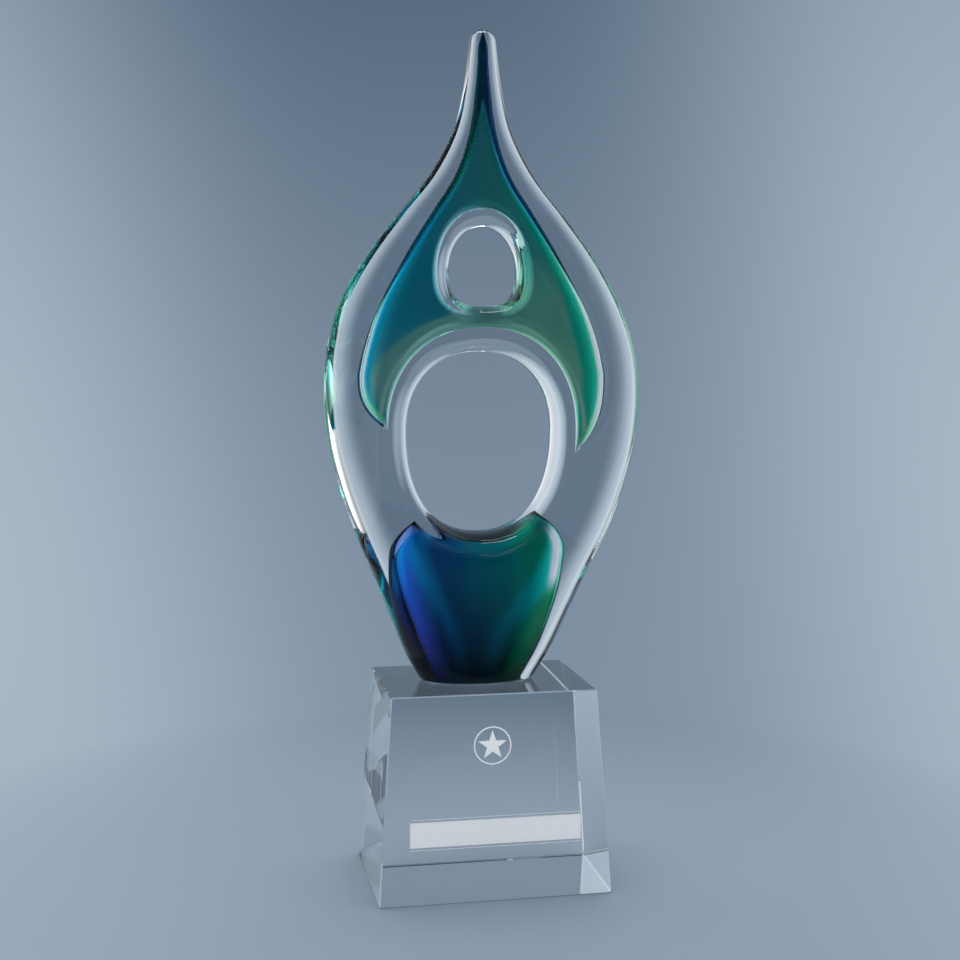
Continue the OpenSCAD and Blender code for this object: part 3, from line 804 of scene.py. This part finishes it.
def upper_gather():
    """A bright line just inside the outline, a painted highlight in the tint over the real one that the light
    bent at the outline makes, a rich band beside it, then a calm body that turns olive in a crescent over the
    arch and towards both legs. Pale stripes along the arch, one at its own edge and a wider one nearer it,
    are painted highlights, and so is a pale rim round the left of the small opening, which is darker at the
    opening's right; a faint line inside the outline on the right is a painted reflection."""
    m, n, bsdf = glass("upper_gather_glass", 1.035)
    rim, over_arch, over_halo = n.inset()
    side, up = sideways(n), n.axis(2)
    neck = n.between(up, 150.0, 200.0)
    right_part = n.both(n.near(up, 165.0, 192.0), n.between(side, 0.52, 0.68))
    low = n.math("MAXIMUM", n.near(up, 118.0, 160.0), right_part)
    toe = n.near(n.math("MULTIPLY_ADD", side, 12.0, up), 118.0, 134.0)
    inside = n.both(rim, n.math("MULTIPLY_ADD", neck, 1.4, 1.0))
    # Painted highlight: the line's tint is near white at both ends and bright blue or green between
    line = n.ramp(side, [(0.0, (0.9, 1.0, 1.0)), (0.06, (0.75, 0.97, 1.0)), (0.14, (0.1, 0.75, 1.0)),
                         (0.3, (0.0, 0.6, 1.0)), (0.42, (0.1, 0.85, 0.5)), (0.5, (0.1, 0.7, 0.7)),
                         (0.58, (0.05, 0.5, 1.0)), (0.7, (0.0, 0.7, 0.85)), (0.8, (0.5, 1.0, 0.8)),
                         (0.9, (0.95, 1.0, 0.95)), (1.0, (1.0, 1.0, 0.97))])
    line = n.mix(n.both(toe, 0.85), line, (0.2, 1.0, 0.4))
    rich = n.ramp(side, [(0.0, (0.0, 0.5, 0.75)), (0.3, (0.0, 0.42, 0.6)), (0.5, (0.05, 0.4, 0.4)),
                         (0.7, (0.0, 0.68, 0.45)), (1.0, (0.03, 0.85, 0.5))])
    rich = n.mix(n.both(toe, 0.8), rich, (0.15, 0.75, 0.4))
    high = n.ramp(side, [(0.0, (0.01, 0.5, 0.6)), (0.3, (0.02, 0.42, 0.46)), (0.5, (0.1, 0.45, 0.42)),
                         (0.65, (0.08, 0.5, 0.45)), (1.0, (0.12, 0.6, 0.42))])
    olive = n.ramp(side, [(0.0, (0.3, 0.65, 0.52)), (0.2, (0.35, 0.67, 0.47)), (0.5, (0.55, 0.78, 0.55)),
                          (0.8, (0.38, 0.75, 0.48)), (1.0, (0.35, 0.82, 0.5))])
    spread = n.math("MULTIPLY", n.math("MAXIMUM", n.math("SUBTRACT", 165.0, up), 0.0), 0.2)
    crescent = n.both(n.near(n.math("SUBTRACT", over_arch, spread), 5.4, 7.0), n.near(up, 168.0, 176.0))
    calm = n.mix(n.math("MAXIMUM", n.both(low, 0.85), crescent), high, olive)
    # Painted highlight: a narrow pale stripe along the arch's own edge
    calm = n.mix(n.both(n.stripe(over_arch, 6.0, 0.5), 0.35), calm, (0.6, 0.9, 0.7))
    wide = n.math("MULTIPLY_ADD", n.between(side, 0.4, 0.7), 5.0, 2.6)
    body = n.mix(n.between(n.math("SUBTRACT", inside, wide), 0.0, 2.6), rich, calm)
    # Painted reflection: a faint pale line inside the outline on the right
    painted_reflection_line = n.both(n.stripe(rim, 9.5, 0.5), n.between(side, 0.55, 0.75))
    body = n.mix(n.both(painted_reflection_line, 0.35), body, (0.4, 1.0, 0.7))
    # Painted highlight: a wider pale band nearer the arch, in the lower part of the colour
    body = n.mix(n.both(n.stripe(over_arch, 3.6, 1.4), n.near(up, 150.0, 178.0)), body, (0.75, 1.0, 0.72))
    # Painted highlight: a pale rim round the left of the small opening, darker at the opening's right
    painted_halo_rim = n.ramp(side, [(0.42, (0.6, 0.9, 0.88)), (0.53, (0.1, 0.28, 0.3))])
    body = n.mix(n.both(n.near(over_halo, 1.2, 3.2), 0.85), body, painted_halo_rim)
    # The painted highlight line fills the first millimetres inside the outline
    body = n.mix(n.between(inside, 1.2, 2.4), line, body)
    cloud = n.ramp(n.noise(55.0, 3.0, (1, 1, 0.35)), [(0.3, (0.86, 0.88, 0.88)), (0.7, (1, 1, 1))])
    n.put(bsdf.inputs["Base Color"], n.mix(1.0, body, cloud, "MULTIPLY"))
    return m


def heart_places(n):
    """Distance inside the side, place from -1 at the left to 1 at the right, distance beyond the brow, share
    of the height up to the shoulders, and the place again from 0 to 1."""
    rim, u, under = n.inset()
    v = n.math("DIVIDE", n.axis(2), float(shoulder(0)[1]))
    return rim, u, under, v, n.math("MULTIPLY_ADD", u, 0.5, 0.5)


def painted_side_highlight(n, u, v):
    """A painted highlight high on the heart's right, where the side light comes through: a stripe in which
    the tint is white.
    """
    return n.both(n.stripe(u, 0.89, 0.09), n.both(n.between(v, 0.5, 0.66), n.near(v, 0.9, 0.98)))


def lower_tint():
    """Overlay of the heart: near black at the rim and in both peaks, and within them a thin colour, violet at
    the left and green at the right, with a painted highlight in white high on the right."""
    m, n, bsdf = glass("lower_color_glass", 1.17)
    rim, u, under, v, side = heart_places(n)
    dark = n.ramp(side, [(0.0, (0.01, 0.01, 0.06)), (0.2, (0.01, 0.02, 0.1)), (0.5, (0.01, 0.05, 0.1)),
                         (0.8, (0.0, 0.06, 0.06)), (1.0, (0.0, 0.1, 0.06))])
    thin = n.ramp(side, [(0.0, (0.25, 0.35, 0.9)), (0.2, (0.15, 0.5, 0.9)), (0.5, (0.1, 0.6, 0.7)),
                         (0.8, (0.05, 0.8, 0.7)), (1.0, (0.03, 0.75, 0.55))])
    # Painted highlight: the overlay turns white high on the heart's right
    thin = n.mix(painted_side_highlight(n, u, v), thin, (1.0, 1.0, 1.0))
    edge = n.near(rim, 0.5, 1.2)
    peak = n.both(n.near(under, 1.2, 3.6), n.between(n.math("ABSOLUTE", u), 0.6, 0.85))
    n.put(bsdf.inputs["Base Color"], n.mix(n.math("MAXIMUM", edge, peak), thin, dark))
    return m


def lower_gather():
    """Body of the heart: slanting cobalt and teal bands that draw together downwards, green beside the right
    one, painted highlights in a pale violet edge at the far left, a cyan stripe on the left and white high on
    the right, and darker towards the foot, where it is almost black."""
    m, n, bsdf = glass("lower_gather_glass", 1.015)
    _, u, _, v, side = heart_places(n)
    # Painted highlight: the ramp starts pale violet at the heart's far left edge
    body = n.ramp(side, [(0.0, (0.5, 0.5, 0.8)), (0.06, (0.2, 0.16, 0.5)), (0.22, (0.12, 0.24, 0.42)),
                         (0.35, (0.03, 0.3, 0.42)), (0.5, (0.0, 0.42, 0.44)), (0.7, (0.0, 0.5, 0.42)),
                         (0.85, (0.0, 0.62, 0.34)), (0.95, (0.0, 0.45, 0.22)), (1.0, (0.0, 0.3, 0.15))])
    lean = n.math("ADD", u, n.math("MULTIPLY_ADD", n.noise(30.0), 0.12, -0.06))
    fall = n.between(v, 0.1, 0.9)
    cobalt = n.ramp(v, [(0.2, (0.45, 0.28, 0.8)), (0.45, (0.2, 0.35, 0.9)), (0.65, (0.1, 0.4, 0.9)),
                        (0.8, (0.0, 0.6, 1.0))])
    streaks = ((-0.66, -0.2, 0.17, 0.85, cobalt), (-0.24, -0.44, 0.16, 0.85, (0.02, 0.85, 0.9)),
               (0.32, 0.6, 0.24, 0.9, (0.0, 0.95, 0.95)))
    for foot, rise, wide, strength, tint in streaks:
        streak = n.stripe(lean, n.math("MULTIPLY_ADD", fall, rise, foot), wide)
        body = n.mix(n.both(streak, strength), body, tint)
    # Painted highlight: a cyan stripe high on the heart's left
    painted_glint = n.both(n.stripe(u, -0.9, 0.08), n.both(n.between(v, 0.5, 0.62), n.near(v, 0.86, 0.94)))
    body = n.mix(painted_glint, body, (0.05, 0.95, 1.0))
    # Painted highlight: the body turns white there too
    body = n.mix(painted_side_highlight(n, u, v), body, (1.0, 1.0, 1.0))
    body = n.mix(n.both(n.between(u, 0.4, 0.7), n.near(v, 0.1, 0.45)), body, (0.0, 0.75, 0.3))
    # Darker towards the foot, almost black at it
    deep = n.ramp(v, [(0.0, (0.04, 0.02, 0.03)), (0.1, (0.12, 0.08, 0.1)), (0.2, (0.26, 0.2, 0.28)),
                      (0.35, (0.46, 0.42, 0.52)), (0.5, (0.75, 0.68, 0.72)), (0.65, (0.95, 0.95, 0.95)),
                      (0.8, (1, 1, 1))])
    drawn = n.ramp(n.noise(120.0, 3.0, (1, 1, 0.12)), [(0.35, (0.8, 0.82, 0.85)), (0.65, (1, 1, 1))])
    n.put(bsdf.inputs["Base Color"], n.mix(1.0, n.mix(1.0, body, deep, "MULTIPLY"), drawn, "MULTIPLY"))
    return m


# ---------------------------------------------------------------- pieces
def cased(name, skin, mat, node, inset=None):
    """A piece of the flame that stands for a node of the frame."""
    pts, tris, flat = skin
    piece = add_mesh(name, pts, tris, flat, FOOT_Z, inset(pts) if inset else None)
    piece.data.materials.append(mat)
    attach(piece, "root")
    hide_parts(node)


cased("casing_skin", flame_mesh(), casing_glass(), "clear_casing", flame_inset)
cased("upper_color", upper_mesh(0), upper_tint(), "upper_color_layer", upper_inset)
cased("upper_gather", upper_mesh(1), upper_gather(), "upper_inner_gather", upper_inset)
cased("heart_color", heart_mesh(0, COLOUR_CUT), lower_tint(), "lower_color_layer",
      heart_inset)
cased("heart_gather", heart_mesh(1, GATHER_CUT), lower_gather(), "lower_inner_gather",
      heart_inset)
cased("bond_disc", film_mesh(), resin(), "bond_film")

frost = add_mesh("base_frosting", *frost_mesh())
frost.data.materials.append(frosting())
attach(frost, "root")

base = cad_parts["base_block"]
base.data.materials.clear()
base.data.materials.append(crystal())

# ---------------------------------------------------------------- floor, light and camera
# the camera in degrees and metres, its lens in millimetres
VIEW_AZ, VIEW_EL, VIEW_ROLL = 11.39, 4.90, 0.17
VIEW_DISTANCE, VIEW_TARGET, VIEW_LENS, VIEW_SENSOR = 0.6706, (-0.00053, 0, 0.1779), 56.8, 36

# the lamp in metres and watts
LAMP_PLACE, LAMP_AIM, LAMP_SIZE, LAMP_POWER = (0.0, 0.1, 1.2), (0, 0, 0.1), 0.5, 4

# the floor in millimetres, and the distances in metres between which it fades
FLOOR_R, FLOOR_DROP = 1200.0, 0.3
FADE_FROM, FADE_TO = 0.09, 0.32

# the backdrop in degrees and brightness levels, with its dark band
LEVEL, LEVEL_SLOPE, LEVEL_BOW, LEVEL_SPAN, LEVEL_TOP = 167.5, -0.666, -0.048, 30.0, 220
BAND_SHIFT, BAND_LEAN, BAND_HALF, BAND_POWER = 0.575, 0.177, 12.73, 2.856
BAND_DIP, BAND_DEEPENS = 51.7, 0.819

# what glass sees besides paper
DUSK, STRONG, WEAK = (0.02, 0.02, 0.025), (1.6, 1.6, 1.6), (0.9, 0.92, 0.95)


def paper(v):
    """Linear colour of the grey-blue studio paper at a brightness level from 0 to 255. Its green and blue are
    straight lines of the level, and the display curve is undone."""
    rgb = np.array([v, 0.977 * v + 20, 0.913 * v + 45.7]) / 255
    return tuple(np.where(rgb < 0.04045, rgb / 12.92, ((rgb + 0.055) / 1.055) ** 2.4))


def backdrop(n, az, el):
    """The paper in a direction: a level that bows with the height, palest a little below the horizon, less a
    bell-shaped dark band that leans to the left and deepens as it rises."""
    off = n.math("ADD", n.math("ADD", az, BAND_SHIFT), n.math("MULTIPLY", el, BAND_LEAN))
    off = n.math("POWER", n.math("DIVIDE", n.math("ABSOLUTE", off), BAND_HALF), BAND_POWER)
    bell = n.math("EXPONENT", n.math("MULTIPLY", off, -1.0))
    dip = n.both(bell, n.math("MULTIPLY_ADD", el, BAND_DEEPENS, BAND_DIP))
    el = n.math("MAXIMUM", n.math("MINIMUM", el, LEVEL_SPAN), -LEVEL_SPAN)
    plain = n.math("ADD", n.math("MULTIPLY_ADD", el, LEVEL_SLOPE, LEVEL), n.both(n.both(el, el), LEVEL_BOW))
    level = n.math("DIVIDE", n.math("SUBTRACT", plain, dip), LEVEL_TOP)
    return n.ramp(level, [(v / LEVEL_TOP, paper(v)) for v in range(60, LEVEL_TOP + 1, 16)])


def surroundings(n, az, el):
    """What glass sees, by the angle to either side of the camera's own direction: the paper, then a strong
    tall light at the right and a weaker one at the left, and the dark room beyond them. High up behind the
    award the paper is even."""
    near = [(13.5, paper(98)), (16.5, paper(118)), (20.5, paper(148)), (25.5, paper(168)), (30, paper(176)),
            (38, paper(207))]
    right = near + [(46, (0.58, 0.63, 0.69)), (60, (0.72, 0.77, 0.82)), (80, STRONG), (98, STRONG),
                    (110, (0.4, 0.43, 0.46)), (122, (0.05, 0.05, 0.06)), (150, DUSK)]
    left = near + [(46, (0.5, 0.56, 0.62)), (60, (0.55, 0.6, 0.66)), (80, WEAK), (108, WEAK),
                   (122, (0.35, 0.4, 0.45)), (135, (0.1, 0.11, 0.12)), (150, DUSK)]
    stops = ([(0.5 - a / 360, c) for a, c in reversed(left)] + [(0.5, paper(98))]
             + [(0.5 + a / 360, c) for a, c in right])
    around = n.ramp(n.math("DIVIDE", n.math("ADD", az, 180.0), 360.0), stops)
    above = n.both(n.between(el, 5.0, 9.0), n.near(n.math("ABSOLUTE", az), 13.0, 20.0))
    return n.mix(above, around, paper(122))


def studio():
    """The camera sees the backdrop. Glass sees the surroundings, but what is seen through it towards the dark
    room is the backdrop's paper, and its outer faces reflect only a quarter of the lights and the room. Matt
    surfaces get even light."""
    world = bpy.data.worlds.new("studio")
    bpy.context.scene.world = world
    world.use_nodes = True
    n = Nodes(world.node_tree)
    way = n.new("TexCoord").outputs["Generated"]
    az = n.math("ARCTAN2", n.part(way, 0), n.part(way, 1))
    az = n.math("SUBTRACT", n.math("MULTIPLY", az, 180 / math.pi), VIEW_AZ)
    az = n.math("SUBTRACT", n.math("WRAP", n.math("ADD", az, 180.0), 360.0, 0.0), 180.0)
    el = n.math("MULTIPLY", n.math("ARCSINE", n.part(way, 2)), 180 / math.pi)
    direct = backdrop(n, az, el)
    around = surroundings(n, az, el)
    ray = n.new("LightPath").outputs
    through = n.both(ray["Is Transmission Ray"], n.between(n.math("ABSOLUTE", az), 115.0, 140.0))
    around = n.mix(through, around, direct)
    shine = n.both(n.math("SUBTRACT", 1.0, ray["Is Transmission Ray"]),
                   n.between(n.math("ABSOLUTE", az), 50.0, 80.0))
    around = n.mix(n.both(shine, 0.75), around, (0.0, 0.0, 0.0))
    soft = n.mix(ray["Is Diffuse Ray"], around, (0.85, 0.87, 0.9))
    n.put(n.tree.nodes["Background"].inputs[0], n.mix(ray["Is Camera Ray"], soft, direct))


def floor_paper():
    """Grey-blue paper that fades out with the distance, so that it runs into the backdrop without an edge."""
    m, n, bsdf = material("floor_paper")
    bsdf.inputs["Base Color"].default_value = (0.27, 0.34, 0.42, 1)
    bsdf.inputs["Roughness"].default_value = 0.6
    away = n.new("VectorMath", operation="LENGTH")
    n.put(away.inputs[0], n.place())
    fade = n.new("MixShader")
    for socket, v in zip(fade.inputs, (n.between(away.outputs["Value"], FADE_FROM, FADE_TO, "LINEAR"),
                                       bsdf.outputs[0], n.new("BsdfTransparent").outputs[0])):
        n.put(socket, v)
    n.put(n.tree.nodes["Material Output"].inputs[0], fade.outputs[0])
    return m


def floor():
    """A disc under the award: a fan of triangles from its middle to its rim."""
    rim = FLOOR_R * circle(np.arange(0, 360, 5))
    n = len(rim)
    pts = np.insert(np.c_[rim, np.full(n, -FLOOR_DROP)], 0, [0, 0, -FLOOR_DROP], axis=0)
    k = np.arange(n)
    disc = add_mesh("floor", pts, np.stack([k * 0, k + 1, (k + 1) % n + 1], 1), np.ones(n, bool))
    disc.data.materials.append(floor_paper())


def camera():
    """A longish lens, a little to the left of the front: back from the target along azimuth and elevation,
    then a roll about the view."""
    a, e, r = map(math.radians, (-VIEW_AZ, VIEW_EL, VIEW_ROLL))
    back = Vector((math.sin(a) * math.cos(e), -math.cos(a) * math.cos(e), math.sin(e)))
    right = Vector((0, 0, 1)).cross(back).normalized()
    up = back.cross(right)
    right, up = right * math.cos(r) + up * math.sin(r), up * math.cos(r) - right * math.sin(r)
    data = bpy.data.cameras.new("camera")
    data.lens, data.sensor_width, data.clip_start = VIEW_LENS, VIEW_SENSOR, 0.01
    obj = placed("camera", data)
    turn = Matrix((right, up, back)).transposed().to_4x4()
    obj.matrix_world = Matrix.Translation(Vector(VIEW_TARGET) + back * VIEW_DISTANCE) @ turn
    bpy.context.scene.camera = obj


def top_light():
    """A wide soft lamp above the award and a little behind it."""
    lamp = bpy.data.lights.new("top_soft", "AREA")
    lamp.shape = "RECTANGLE"
    lamp.size = lamp.size_y = LAMP_SIZE
    lamp.energy = LAMP_POWER
    place = Vector(LAMP_PLACE)
    turn = (Vector(LAMP_AIM) - place).normalized().to_track_quat("-Z", "Y").to_matrix().to_4x4()
    placed("top_soft", lamp).matrix_world = Matrix.Translation(place) @ turn


studio()
floor()
camera()
top_light()

scene = bpy.context.scene
scene.view_settings.view_transform = "Standard"
scene.cycles.max_bounces = 24
scene.cycles.transmission_bounces = 24
scene.cycles.glossy_bounces = 12
scene.cycles.transparent_max_bounces = 16
scene.cycles.use_denoising = True
